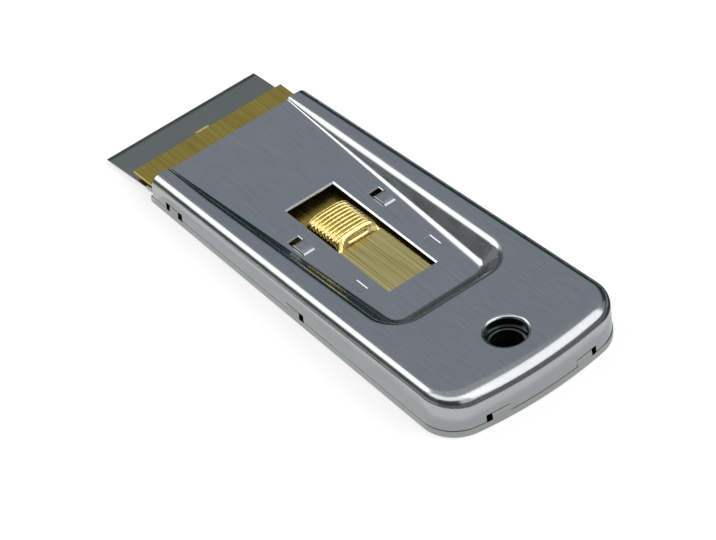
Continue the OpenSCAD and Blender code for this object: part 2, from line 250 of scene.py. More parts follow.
# %% Cards round the object
NEAR, FAR = 3.0, 3.4
flag_x, flag_y, flag_z = (-70 * MM, 70 * MM), (-140 * MM, -30 * MM), 0.1 * MM


def spread(first, last, steps):
    """Evenly spaced values from first to last."""
    return [first + (last - first) * i / steps for i in range(steps + 1)]


def card_finish(made, brightness):
    """Light that shows only in reflections."""
    finish = bpy.data.materials.new(made.name)
    finish.use_nodes = True
    finish.node_tree.nodes.clear()
    graph = Graph(finish.node_tree)
    glow = graph.node("ShaderNodeEmission", None, {"Color": (*brightness, 1)})
    graph.node("ShaderNodeOutputMaterial", None, {"Surface": glow})
    made.data.materials.append(finish)
    made.visible_camera = False
    made.visible_diffuse = False
    made.visible_shadow = False


def card(name, azimuths, heights, brightness, distance=NEAR, steps=24):
    """A curved card between two compass directions and two heights."""
    points = [sky_point(azimuth, height, distance)
              for height in spread(*heights, steps) for azimuth in spread(*azimuths, steps)]
    wide = steps + 1
    faces = [(i * wide + k, i * wide + k + 1, (i + 1) * wide + k + 1, (i + 1) * wide + k)
             for i in range(steps) for k in range(steps)]
    card_finish(stage_object(name, points, faces), brightness)


card("card_ring", (52, 196), (40, 66), (1.9, 1.9, 1.9))
card("card_far", (-95, -8), (31, 60), (0.40, 0.44, 0.495))
card("card_top", (-180, 180), (60, 90), (0.58, 0.60, 0.62), distance=FAR, steps=48)
card("card_far_low", (-95, -35), (-1, 31), (0.02, 0.045, 0.05))
card("card_front_low", (-35, 6), (-1, 31), (0.13, 0.15, 0.155))
card("card_left_front", (6, 30), (-1, 25), (0.36, 0.37, 0.38), distance=FAR)
card("card_left", (30, 100), (13, 37), (0.10, 0.11, 0.11), distance=FAR)
card("card_left_low", (30, 100), (-1, 13), (0.20, 0.21, 0.21), distance=FAR)
card("card_corner", (100, 160), (-1, 40), (0.06, 0.07, 0.07), distance=FAR)
card("card_back", (196, 265), (14, 60), (0.40, 0.42, 0.44), distance=FAR)
card("card_back_low", (160, 265), (-1, 14), (0.13, 0.145, 0.16), distance=FAR)
card_finish(stage_plate("card_floor", flag_x, flag_y, flag_z), (0.05, 0.08, 0.08))
print("11 cards round the object and 1 on the floor")

# %% [markdown]
# ## Shade under the case
# Hardly any light gets in under the case, so the hang hole looks black. A dark plate just below the
# base gives that depth, because the floor glows a little to look white.

# %% Shade under the case
shade_back, shade_front, shade_half = -92, -4, 12
shade = stage_plate("shade_under", (front_x + shade_back * MM, front_x + shade_front * MM),
                    (-shade_half * MM, shade_half * MM), -FLOOR_DROP / 2)
black = bpy.data.materials.new("shade_under")
black.use_nodes = True
shader = black.node_tree.nodes["Principled BSDF"]
shader.inputs["Base Color"].default_value = (0.004, 0.005, 0.005, 1)
shader.inputs["Specular IOR Level"].default_value = 0.0
shade.data.materials.append(black)
print("shade", shade_front - shade_back, "mm long")

# %% [markdown]
# ## Sizes
# These repeat the drawing of the case, in millimetres: X runs back from the case's front edge, so
# places inside the case are negative, and Z starts at the table.

# %% Sizes of the case
case_len = 97.8
rim_half, flare = 20.2, 2.7
rim_proud, rim_h = 0.15, 1.75
seam_z = 1.85
mouth_set = 0.7
front_h, back_h = 6.65, 10.25
roll_r, back_roll_r = 2.3, 3.4
corner_r, back_bow = 8.2, 1.2
sheet = 0.5
panel_z, panel_dip, panel_back = 6.2, 1.2, 71.5
slope = (back_h - front_h) / case_len
panel_slope = panel_dip / panel_back
flare_turn = math.atan(flare / case_len)


def top_z(x):
    """Height of the cover's sloping top face."""
    return front_h - slope * x


def panel_at(x):
    """Height of the sunk panel, which dips a little towards its back."""
    return panel_z + panel_slope * x


def half_at(x):
    """Half width of the rim, which flares towards the back."""
    return rim_half - x * math.tan(flare_turn)


print("top face rises", round(math.degrees(math.atan(slope)), 2), "degrees")

# %% [markdown]
# ## A builder for sheet metal
# Pressed sheet has rows of bends that follow an outline, and flat faces between them. The builder
# below collects points, joins two rows by a band of faces, and fills a flat face between outlines
# with a constrained triangulation, so that every edge is shared and Solidify can give the sheet its
# thickness at the end.

# %% Mesh helpers
MERGE = 0.002 * MM
FILL_SNAP = 1e-7


def inside(point, loop):
    """True if a flat point lies inside a closed loop of points."""
    hit = False
    x, y = point
    for (ax, ay), (bx, by) in zip(loop, loop[1:] + loop[:1]):
        if (ay > y) != (by > y) and x < ax + (y - ay) * (bx - ax) / (by - ay):
            hit = not hit
    return hit


def bake(made):
    """Turns an object with modifiers into a plain mesh."""
    live = made.evaluated_get(bpy.context.evaluated_depsgraph_get())
    mesh = bpy.data.meshes.new_from_object(live)
    made.modifiers.clear()
    made.data = mesh
    mesh.name = made.name


def thicken(made, thickness):
    """Gives a skin its sheet thickness, behind its outside."""
    wall = made.modifiers.new("sheet", "SOLIDIFY")
    wall.thickness = thickness * MM
    wall.offset = -1
    return wall


def smooth(made, degrees=32):
    """Smooth shading, with edges sharper than that kept crisp."""
    made.data.polygons.foreach_set("use_smooth", [True] * len(made.data.polygons))
    made.data.set_sharp_from_angle(angle=math.radians(degrees))


print("mesh helpers ready")

# %% Sheet metal builder
class Skin:
    """One side of a pressed sheet."""

    def __init__(self):
        self.points = []
        self.faces = []

    def row(self, points):
        """Adds points and returns their numbers."""
        start = len(self.points)
        self.points += points
        return list(range(start, len(self.points)))

    def band(self, low, high, closed=False, skip=()):
        """Faces between two rows; skip names the gaps left open."""
        count = len(low)
        for i in range(count if closed else count - 1):
            k = (i + 1) % count
            if i not in skip:
                self.faces.append((low[i], low[k], high[k], high[i]))

    def zip(self, first, second):
        """Triangles between two open rows of different counts that run side by side."""
        i = k = 0
        while i + 1 < len(first) or k + 1 < len(second):
            step_first = k + 1 == len(second)
            if not step_first and i + 1 < len(first):
                over_first = math.dist(self.points[first[i + 1]], self.points[second[k]])
                over_second = math.dist(self.points[first[i]], self.points[second[k + 1]])
                step_first = over_first < over_second
            if step_first:
                self.faces.append((first[i], first[i + 1], second[k]))
                i += 1
            else:
                self.faces.append((first[i], second[k + 1], second[k]))
                k += 1

    def fill(self, outline, *holes):
        """A flat face inside outline, with holes; all are closed rows."""
        loops = [outline, *holes]
        ids = [i for loop in loops for i in loop]
        flat = [Vector(self.points[i][:2]) for i in ids]
        edges, start = [], 0
        for loop in loops:
            count = len(loop)
            edges += [(start + k, start + (k + 1) % count) for k in range(count)]
            start += count
        points, _, faces, origins, _, _ = delaunay_2d_cdt(flat, edges, [], 0, FILL_SNAP)
        shapes = [[tuple(Vector(self.points[i][:2])) for i in loop] for loop in loops]
        for face in faces:
            middle = [sum(points[i][axis] for i in face) / 3 for axis in (0, 1)]
            if inside(middle, shapes[0]) and not any(inside(middle, s) for s in shapes[1:]):
                self.faces.append(tuple(ids[origins[i][0]] for i in face))

    def piece(self, name, thickness, face_up=1):
        """The finished sheet as a plain object; its outside faces up (1) or down (-1)."""
        mesh = bpy.data.meshes.new(name)
        mesh.from_pydata([(front_x + x * MM, y * MM, z * MM) for x, y, z in self.points], [], self.faces)
        shape = bmesh.new()
        shape.from_mesh(mesh)
        bmesh.ops.remove_doubles(shape, verts=shape.verts, dist=MERGE)
        bmesh.ops.recalc_face_normals(shape, faces=shape.faces)
        loose = [v for v in shape.verts if not v.link_faces]
        bmesh.ops.delete(shape, geom=loose, context="VERTS")
        outermost = max(shape.faces, key=lambda f: f.calc_center_median().z * face_up)
        if outermost.normal.z * face_up < 0:
            bmesh.ops.reverse_faces(shape, faces=shape.faces)
        shape.to_mesh(mesh)
        shape.free()
        made = add_object(name, mesh)
        thicken(made, thickness).use_even_offset = True
        bake(made)
        return made


print("sheet metal builder ready")

# %% [markdown]
# ## The case outline
# Both halves follow one outline: sides that flare a little, two round corners and a back edge that
# bows out. A station is a point on it with its outward direction, so that a bend is drawn by
# stepping in from the station. Stations also fall on the edges of the crimps.

# %% Sizes of the outline and crimps
corner_x = corner_r + back_bow - case_len
corner_y = half_at(corner_x) - corner_r / math.cos(flare_turn)
bow_r = corner_r + (corner_y ** 2 + back_bow ** 2) / (2 * back_bow)
bow_x = bow_r - case_len
swing = math.asin(corner_y / (bow_r - corner_r))
side_end = corner_x + corner_r * math.sin(flare_turn)
side_step, corner_steps, bow_steps = 2.0, 26, 16
side_room, corner_room, bow_room = 0.5, 0.03, 0.005
crimp_w, crimp_gap, crimp_h = 2.8, 1.3, 1.6
crimp_top_gap = 0.1
side_crimps = [-0.081 * case_len, -0.49 * case_len]
back_crimp_y = 0.55 * rim_half
print("back bow radius", round(bow_r, 1), "mm, corners from x =", round(side_end, 2))

# %% Stations round the case
def crimp_edges(middle):
    """The four edges of a crimp: opening, tab, tab, opening."""
    half, gap = crimp_w / 2, crimp_gap
    return [middle - half - gap, middle - half, middle + half, middle + half + gap]


def with_marks(regular, marks, room):
    """Regular spots plus the marks, without the regular ones that crowd a mark."""
    return [v for v in regular if all(abs(v - m) > room for m in marks)] + list(marks)


def left_half(front):
    """Stations of the left side, from the front edge to the middle of the back."""
    marks = [edge for middle in side_crimps for edge in crimp_edges(middle)]
    regular = [-side_step * i for i in range(1, int(-side_end / side_step))]
    spots = with_marks(regular, marks, side_room)
    facing = (math.sin(flare_turn), math.cos(flare_turn))
    stations = [(front, half_at(front), 0.0, 1.0)]
    stations += [(x, half_at(x), *facing) for x in sorted([side_end, *spots], reverse=True)]
    join_y = bow_r * math.sin(swing)
    marks = crimp_edges(back_crimp_y)
    turns = spread(math.pi / 2 - flare_turn, math.pi - swing, corner_steps)[1:]
    held = [math.pi - math.asin((y - corner_y) / corner_r) for y in marks if y > join_y]
    for t in sorted(with_marks(turns, held, corner_room)):
        c, s = math.cos(t), math.sin(t)
        stations.append((corner_x + corner_r * c, corner_y + corner_r * s, c, s))
    turns = [swing * (1 - i / bow_steps) for i in range(1, bow_steps + 1)]
    held = [math.asin(y / bow_r) for y in marks if y < join_y]
    for t in sorted(with_marks(turns, held, bow_room), reverse=True):
        c, s = math.cos(t), math.sin(t)
        stations.append((bow_x - bow_r * c, bow_r * s, -c, s))
    return stations


def outline(front):
    """Stations all round, from the left end of the front edge to its right end."""
    near = left_half(front)
    return near + [(x, -y, nx, -ny) for x, y, nx, ny in reversed(near[:-1])]


def ring(stations, inset, height):
    """A row at one height that follows the outline, drawn in by inset."""
    return [(x - inset * nx, y - inset * ny, height) for x, y, nx, ny in stations]


def gaps(stations, first, last):
    """Numbers of the outline's gaps that lie between two edges of a crimp."""
    found = []
    for i, (a, b) in enumerate(zip(stations, stations[1:])):
        mx, my = (a[0] + b[0]) / 2, abs(a[1] + b[1]) / 2
        spots = [(mx, m) for m in side_crimps] if mx > side_end else [(my, back_crimp_y)]
        if any(crimp_edges(m)[first] < v < crimp_edges(m)[last] for v, m in spots):
            found.append(i)
    return found


cover_line = outline(-mouth_set)
base_line = outline(0.0)
print(len(base_line), "stations,", len(gaps(base_line, 0, 3)), "gaps in the crimps")

# %% Cards on the table
TABLE_CARD_Z = 0.00006


def table_card(name, stations, near, far, brightness):
    """A strip on the table between two distances from the case."""
    points = [(front_x + (x + out * nx) * MM, (y + out * ny) * MM, TABLE_CARD_Z)
              for out in (near, far) for x, y, nx, ny in stations]
    count = len(stations)
    faces = [(i, i + 1, count + i + 1, count + i) for i in range(count - 1)]
    card_finish(stage_object(name, points, faces), brightness)


left_side = [station for station in base_line if station[3] > 0.8]
back_side = [station for station in base_line if station[2] < -0.2]
# card_foot is painted shade: a grey strip close round the case, seen only in reflections, stands in for the
# table's soft contact shadow
table_card("card_foot", base_line, 0.0, 4.8, (0.74, 0.75, 0.75))
table_card("card_foot_left", left_side, 20.0, 120.0, (0.20, 0.21, 0.21))
table_card("card_foot_back", back_side, 17.0, 500.0, (0.20, 0.21, 0.21))
print("3 cards on the table")

# %% [markdown]
# ## Cover: walls and rolled edge
# The cover's side walls stand straight up and roll over into the sloping top in a tight bend, which
# carries the bright line all round the tool. Each row below is one step of that bend.

# %% Cover walls and roll
land_strip = 0.25
roll_step = 6


def roll_at(nx):
    """Radius of the rolled edge, which is larger along the back."""
    return roll_r + (back_roll_r - roll_r) * min(nx, 0) ** 2


def roll_row(turn):
    """A row of the bend: 0 degrees is on the wall and 90 on the top face."""
    t = math.radians(turn)
    row = []
    for x, y, nx, ny in cover_line:
        radius = roll_at(nx)
        inset = rim_proud + radius * (1 - math.cos(t))
        middle_x = x - (rim_proud + radius) * nx
        row.append((x - inset * nx, y - inset * ny, top_z(middle_x) - radius * (1 - math.sin(t))))
    return row


def land_spot(x, y, nx, ny):
    """A point of the top face just inside the roll."""
    inset = rim_proud + roll_at(nx) + land_strip
    spot_x = x - inset * nx
    return (spot_x, y - inset * ny, top_z(spot_x))


cover = Skin()
wall_foot = cover.row(ring(cover_line, rim_proud, seam_z))
last = cover.row(ring(cover_line, rim_proud, seam_z + crimp_h))
cover.band(wall_foot, last, skip=gaps(cover_line, 0, 3))
for turn in range(0, 91, roll_step):
    following = cover.row(roll_row(turn))
    cover.band(last, following)
    last = following
land_edge = cover.row([land_spot(*station) for station in cover_line])
cover.band(last, land_edge)
print("cover walls:", len(cover.faces), "faces")

# %% [markdown]
# ## Cover: sunk thumb panel
# A drawn panel has a soft bend at the top, a leaning wall and another bend at the floor. The panel
# dips while the top face rises, so it gets deeper towards the back, and the bends shrink where
# there is little depth for them.

# %% Panel walls
panel_half, panel_corner = 15.5, 7.0
panel_step, panel_turn_steps, panel_back_steps = 1.5, 24, 8
wall_lean = 0.98
bend_top, bend_low = 2.5, 3.0
bend_top_share, bend_low_share = 2.1, 0.7
bend_steps = 10
floor_strip = 0.1


def panel_stations():
    """Points of the panel's sharp top edge with the direction inwards."""
    turn_x, turn_y = panel_corner - panel_back, panel_half - panel_corner
    steps = int(-turn_x / panel_step)
    half = [(-mouth_set - panel_step * i, panel_half, 0.0, -1.0) for i in range(steps)]
    for turn in spread(90, 180, panel_turn_steps):
        c, s = math.cos(math.radians(turn)), math.sin(math.radians(turn))
        half.append((turn_x + panel_corner * c, turn_y + panel_corner * s, -c, -s))
    half += [(-panel_back, turn_y * (1 - i / panel_back_steps), 1.0, 0.0)
             for i in range(1, panel_back_steps + 1)]
    return half + [(x, -y, nx, -ny) for x, y, nx, ny in reversed(half[:-1])]


def panel_section(depth):
    """Steps in and down from the sharp edge: top bend, wall, floor bend, with a flat strip each end."""
    lean = math.atan2(1, wall_lean)
    half = math.tan(lean / 2)
    top_r, low_r = min(bend_top, bend_top_share * depth), min(bend_low, bend_low_share * depth)
    foot = wall_lean * depth + low_r * half
    steps = [(-top_r * half - land_strip, 0.0)]
    for a in spread(0, lean, bend_steps):
        steps.append((top_r * (math.sin(a) - half), top_r * (1 - math.cos(a))))
    for a in spread(lean, 0, bend_steps):
        steps.append((foot - low_r * math.sin(a), depth - low_r * (1 - math.cos(a))))
    return steps + [(foot + floor_strip, depth)]


columns = []
for x, y, nx, ny in panel_stations():
    depth = top_z(x) - panel_at(x)
    column = []
    for step, drop in panel_section(depth):
        px, py = x + step * nx, y + step * ny
        floor_z = panel_at(px)
        column.append((px, py, floor_z + (1 - drop / depth) * (top_z(px) - floor_z)))
    columns.append(column)
rows = [cover.row([column[k] for column in columns]) for k in range(len(columns[0]))]
for low, high in zip(rows, rows[1:]):
    cover.band(low, high)
print("panel:", len(columns), "columns of", len(rows), "steps, depth", round(depth, 2))

# %% [markdown]
# ## Cover: hang hole, slot, lanced tabs and coined marks
# The hang hole is drawn down, so its edge is a round lip. The slot is punched, and its far and front
# edges are eased, which gives them a bright line. Each lanced tab is cut on three sides and raised
# in a low crown with its end turned down, so it stays joined to the panel at its root. The coined
# marks are shallow dents.

# %% Sizes of the holes and tabs
hole_x, hole_r, lip_r = 86.9, 4.2, 0.85
hole_sides = 72
slot_w, slot_front, slot_back = 12.45, 26.25, 58.65
slot_ease, lance_ease, lance_side_ease = 0.38, 0.34, 0.13
ease_fall = math.tan(math.radians(29))
tab_root, tab_hole_len, tab_hole_w, tab_y = 39.25, 5.6, 2.9, 10.3
tab_w, tab_len, tab_steps = 2.62, 4.6, 32
# Share of the tab's length, and its height over the panel there
tab_shape = [(0.0, 0.0), (0.1, 0.28), (0.2, 0.44), (0.3, 0.53), (0.42, 0.59), (0.6, 0.61), (0.72, 0.54),
             (0.8, 0.3), (1.0, -0.9)]
mark_x, mark_y, mark_len, mark_w, mark_depth = 53.35, 9.3, 3.4, 1.7, 0.09
mark_runs = {"back": 0.12, "front": 0.05, "far": 0.17, "near": 0.1}
print("slot", slot_w, "by", round(slot_back - slot_front, 2), "mm")

# %% Rows for round and square cuts
def circle_row(skin, radius, height):
    """A round row at the hang hole; height is a function of x."""
    spots = []
    for i in range(hole_sides):
        a = 2 * math.pi * i / hole_sides
        x = radius * math.cos(a) - hole_x
        spots.append((x, radius * math.sin(a), height(x)))
    return skin.row(spots)


def on_panel(x, y, drop=0.0):
    """A point of the panel floor, or one that lies lower by drop."""
    return (x, y, panel_at(x) - drop)


def box_row(skin, x0, x1, y0, y1, drop=0.0):
    """The four corners of a rectangle on the panel."""
    return skin.row([on_panel(x, y, drop) for x, y in ((x0, y0), (x1, y0), (x1, y1), (x0, y1))])


def between(table, place):
    """A value on the straight lines between the pairs of a short table."""
    for (a, low), (b, high) in zip(table, table[1:]):
        if place <= b:
            return low + (high - low) * (place - a) / (b - a)
    return table[-1][1]


def eased_cut(skin, far_back, far_front, near_front, far_ease, front_ease):
    """Two sloping strips inside a cut: along its far edge and along its front edge."""
    (x0, y0), (x1, _), (_, y1) = [skin.points[i][:2] for i in (far_back, far_front, near_front)]
    inner = skin.row([on_panel(x0, y0 + far_ease, far_ease * ease_fall),
                      on_panel(x1 - front_ease, y0 + far_ease, far_ease * ease_fall),
                      on_panel(x1 - front_ease, y1, front_ease * ease_fall)])
    skin.band([far_back, far_front, near_front], inner)


print("cut helpers ready")

# %% Hang hole and top face
hole_edge = circle_row(cover, hole_r + lip_r + land_strip, top_z)
last = hole_edge
for a in spread(0, math.pi / 2, bend_steps):
    drop = lip_r * (1 - math.cos(a))
    following = circle_row(cover, hole_r + lip_r * (1 - math.sin(a)), lambda x: top_z(x) - drop)
    cover.band(last, following, closed=True)
    last = following
cover.band(last, circle_row(cover, hole_r, lambda x: seam_z), closed=True)
side_count = sum(1 for x, y, nx, ny in cover_line if x >= side_end and y > 0)
wall_count = sum(1 for x, y, nx, ny in panel_stations() if nx == 0 and y > 0)
cover.zip(land_edge[:side_count], rows[0][:wall_count])
cover.zip(land_edge[::-1][:side_count], rows[0][::-1][:wall_count])
back_edge = land_edge[side_count - 1:len(land_edge) - side_count + 1]
back_wall = rows[0][wall_count - 1:len(rows[0]) - wall_count + 1]
cover.fill(back_edge + back_wall[::-1], hole_edge)
print("top face and hang hole:", len(cover.faces), "faces so far")

# %% Straight edges of the panel floor
floor_inset, floor_bow, floor_steps = 0.1, 0.06, 5
floor_sides = []
for edge in (rows[-1][:wall_count], rows[-1][::-1][:wall_count]):
    (x0, y0, _), (x1, y1, _) = cover.points[edge[0]], cover.points[edge[-1]]
    side = math.copysign(1, y0)
    inner = []
    for share in spread(0, 1, floor_steps):
        bow = floor_bow * 4 * share * (1 - share)
        edge_y = y0 + (y1 - y0) * share
        inner.append(on_panel(x0 + (x1 - x0) * share, edge_y + side * (bow - floor_inset)))
    floor_sides.append(cover.row(inner))
    cover.zip(edge, floor_sides[-1])
floor_back = rows[-1][wall_count - 1:len(rows[-1]) - wall_count + 1]
print("panel floor's edge:", len(floor_back) + 2 * (floor_steps + 1), "points")

# %% Slot, tabs and marks
def lanced_tab(y):
    """A tab with its opening; returns the row round both."""
    hole, tab = tab_hole_w / 2, tab_w / 2
    end_x = tab_hole_len - tab_root
    corners = [(end_x, y - hole), (end_x, y + hole), (-tab_root, y + hole), (-tab_root, y + tab),
               (-tab_root, y - tab), (-tab_root, y - hole)]
    cut = cover.row([on_panel(*corner) for corner in corners])
    eased_cut(cover, cut[5], cut[0], cut[1], lance_side_ease, lance_ease)
    last = [cut[3], cut[4]]
    for share in spread(0, 1, tab_steps)[1:]:
        x = -tab_root + tab_len * share
        drop = -between(tab_shape, share)
        following = cover.row([on_panel(x, y + tab, drop), on_panel(x, y - tab, drop)])
        cover.band(last, following)
        last = following
    return cut


def coined_mark(y):
    """A shallow dent with sloping sides; returns its rim."""
    x0, x1 = -mark_x - mark_len / 2, mark_len / 2 - mark_x
    y0, y1 = y - mark_w / 2, y + mark_w / 2
    rim = box_row(cover, x0, x1, y0, y1)
    dent = box_row(cover, x0 + mark_runs["back"], x1 - mark_runs["front"],
                   y0 + mark_runs["far"], y1 - mark_runs["near"], mark_depth)
    cover.band(rim, dent, closed=True)
    cover.faces.append(tuple(dent))
    return rim


slot = box_row(cover, -slot_back, -slot_front, -slot_w / 2, slot_w / 2)
eased_cut(cover, slot[0], slot[1], slot[2], slot_ease, slot_ease)
cuts = [slot]
for side in (-1, 1):
    cuts += [lanced_tab(side * tab_y), coined_mark(side * mark_y)]
cover.fill(floor_sides[0] + floor_back + floor_sides[1][::-1], *cuts)
top_cover = cover.piece("top_cover", sheet)
smooth(top_cover, 20)
print("top_cover:", len(top_cover.data.polygons), "faces")

# %% [markdown]
# ## Base
# The base is a shallow pan: a flat plate, a small bend and a low rim that the cover stands in. Tabs
# on the rim go up into the cover's notches to hold the halves together, and a collar is drawn up
# round the hang hole. A tab at the front leaves a gap on both sides, the others only on one.

# %% Crimp tabs
# Lift over the rim, and how far the tab leans in there
crimp_rows = [(0.5, 0.02), (0.85, 0.07), (crimp_h - crimp_top_gap, 0.16)]
base = Skin()
middles = [(a[0] + b[0]) / 2 for a, b in zip(base_line, base_line[1:])]
front_end = side_crimps[0] - crimp_w
tab_gaps = {i for i in gaps(base_line, 1, 2) if middles[i] > front_end}
tab_gaps |= {i for i in gaps(base_line, 1, 3) if side_end < middles[i] < front_end}
tab_gaps |= {i for i in gaps(base_line, 0, 2) if middles[i] < side_end}
others = [i for i in range(len(base_line) - 1) if i not in tab_gaps]
rim_top = base.row(ring(base_line, 0, rim_h))
last = rim_top
for lift, lean in crimp_rows:
    following = base.row(ring(base_line, lean, rim_h + lift))
    base.band(last, following, skip=others)
    last = following
print("crimp tabs:", len(base.faces), "faces")

# %% Pan and collar
foot_r, foot_steps = 0.4, 6
collar_r, collar_h, collar_bend, collar_steps = 3.45, 6.8, 0.5, 8
last = rim_top
for a in spread(0, math.pi / 2, foot_steps):
    following = base.row(ring(base_line, foot_r * (1 - math.cos(a)), foot_r * (1 - math.sin(a))))
    base.band(last, following)
    last = following
plate_edge = base.row(ring(base_line, foot_r + land_strip, 0))
base.band(last, plate_edge)
plate_hole = circle_row(base, collar_r + collar_bend + land_strip, lambda x: 0)
last = plate_hole
for a in spread(0, math.pi / 2, collar_steps):
    lift = collar_bend * (1 - math.cos(a))
    following = circle_row(base, collar_r + collar_bend * (1 - math.sin(a)), lambda x: lift)
    base.band(last, following, closed=True)
    last = following
base.band(last, circle_row(base, collar_r, lambda x: collar_h), closed=True)
base.fill(plate_edge, plate_hole)
base_pan = base.piece("base_pan", sheet, face_up=-1)
smooth(base_pan)
print("base_pan:", len(base_pan.data.polygons), "faces")

# %% [markdown]
# ## Thumb leaf
# The leaf is one strip of brass: a root that steps down to the slide and is riveted there, a flat
# tail, and a crowned hump with ribs for the thumb and a short crease at its back foot. Ribs repeat
# by a rule, so the whole strip is a geometry tree: a fine grid is lifted by sums of its own X and Y.
# The tree works in millimetres and scales down at the end.

# %% Sizes of the leaf
leaf_w, leaf_t, leaf_top = 10.7, 0.5, 4.4
hump_back, hump_len, hump_rise = -42.85, 11.1, 2.6
leaf_back, leaf_root = -64.45, -60.15
leaf_joggle, leaf_joggle_drop = 1.0, 0.55
leaf_side, hump_foot = 0.32, 0.33
crown_start, crown_run, crown_drop = 3.0, 8.5, 0.18
crease_at, crease_half, crease_depth = 0.85, 0.22, 0.3
crease_fade = (0.3, 0.6)
arch_power, climb_power, wave_power, groove_power = 3.6, 1.35, 1.6, 5
rib_edge = 0.1
leaf_grid = {"Vertices X": 420, "Vertices Y": 49}
leaf_sizes = {"Width": leaf_w, "Tail": hump_back - leaf_back, "Hump": hump_len, "Rise": hump_rise,
              "Back ramp": 1.8, "Front ramp": 0.8, "Ribs": 8.0, "Rib height": 0.6}
print("leaf", leaf_w, "by", round(leaf_sizes["Tail"] + hump_len, 2), "mm")

# %% Geometry tree helpers
def new_tree(name, sizes):
    """A geometry tree with named number inputs; returns its graph and the inputs."""
    tree = bpy.data.node_groups.new(name, "GeometryNodeTree")
    face = tree.interface
    face.new_socket("Geometry", in_out="INPUT", socket_type="NodeSocketGeometry")
    face.new_socket("Geometry", in_out="OUTPUT", socket_type="NodeSocketGeometry")
    face.new_socket("Finish", in_out="INPUT", socket_type="NodeSocketMaterial")
    for label in sizes:
        face.new_socket(label, in_out="INPUT", socket_type="NodeSocketFloat")
    graph = Graph(tree)
    start = tree.nodes.new("NodeGroupInput")
    return graph, {s.name: Term(graph, s) for s in start.outputs if s.name}


def end_tree(graph, shape, finish):
    """Realize Instances, Set Material and the group's output."""
    real = graph.node("GeometryNodeRealizeInstances", None, {"Geometry": shape})
    painted = graph.node("GeometryNodeSetMaterial", None, {"Geometry": real, "Material": finish})
    graph.node("NodeGroupOutput", None, {"Geometry": painted})


def grow(name, mesh, graph, sizes, finish):
    """Runs a tree on a mesh and keeps the result as a plain object."""
    made = add_object(name, mesh)
    live = made.modifiers.new("shape", "NODES")
    live.node_group = graph.tree
    values = {**sizes, "Finish": finish}
    for item in graph.tree.interface.items_tree:
        if item.in_out == "INPUT" and item.name in values:
            live[item.identifier] = values[item.name]
    bake(made)
    return made


print("tree helpers ready")

# %% Leaf tree
graph, size = new_tree("leaf_shape", leaf_sizes)
length = size["Tail"] + size["Hump"]
flat = graph.node("GeometryNodeMeshGrid", None, {"Size X": length, "Size Y": size["Width"], **leaf_grid})
grid_x, across, _ = graph.parts(graph.node("GeometryNodeInputPosition"))
along = grid_x + length * 0.5 - size["Tail"]
aside = (across / size["Width"] * 2).maths("ABSOLUTE").maths("MINIMUM", 1)
fall = ((along - crown_start) / crown_run).maths("MAXIMUM", 0)
crown = 1 - fall * fall * crown_drop
arch = (1 - aside.maths("POWER", arch_power)).maths("SQRT") * crown * size["Rise"]
climb = 1 - ((along - hump_foot) / (size["Back ramp"] - hump_foot)).clipped()
up = 1 - climb.maths("POWER", climb_power)
down = (size["Hump"] - along).step(0, size["Front ramp"])
pitch = (size["Hump"] - size["Back ramp"] - size["Front ramp"]) / size["Ribs"]
wave = ((along - size["Back ramp"]) / pitch * (2 * math.pi)).maths("COSINE") * 0.5 + 0.5
wave = wave.maths("POWER", wave_power)
ribbed = along.step(size["Back ramp"] - rib_edge, size["Back ramp"] + rib_edge)
ribbed = ribbed * (size["Hump"] - size["Front ramp"] - along).step(-rib_edge, rib_edge)
groove = wave * ribbed * (1 - aside.maths("POWER", groove_power)) * size["Rib height"]
crease = (1 - (along - crease_at).maths("ABSOLUTE") / crease_half).maths("MAXIMUM", 0)
crease = crease * (1 - aside.step(*crease_fade)) * crease_depth
height = arch * up * down - groove - crease + leaf_top
root_len = leaf_root - leaf_back
root = 1 - (along + size["Tail"]).step(root_len, root_len + leaf_joggle)
height = height - (1 - down) * leaf_t - root * leaf_joggle_drop
place = graph.node("ShaderNodeCombineXYZ", None, {0: along + hump_back, 1: across + leaf_side, 2: height})
lifted = graph.node("GeometryNodeSetPosition", None, {"Geometry": flat, "Position": place})
whole = graph.node("GeometryNodeTransform", None, {"Geometry": lifted, "Scale": (MM, MM, MM),
                                                   "Translation": (front_x, 0, 0)})
end_tree(graph, whole, size["Finish"])
print("leaf tree:", len(graph.tree.nodes), "nodes")

# %% [markdown]
# ## Finishes
# Rolled sheet has a fine grain in the direction it was rolled or brushed. A noise that is stretched
# along that direction gives the grain: it changes the tone and the roughness a little and raises a
# very small bump. A second, broad noise keeps large flat faces from looking like plastic. The top of
# the collar, deep in the hang hole, is painted near black: that is painted shade.

# %% Metal finish
BUMP_DEPTH = 0.00004
BROAD_SCALE = 90.0
FINE_ROUGH, BROAD_ROUGH = 0.16, 0.1
# Near-black painted shade for the top of the collar, deep down in the hang hole
PAINTED_SHADE_COLOUR = (0.07, 0.075, 0.08, 1)
PAINTED_SHADE_RUN = 0.1


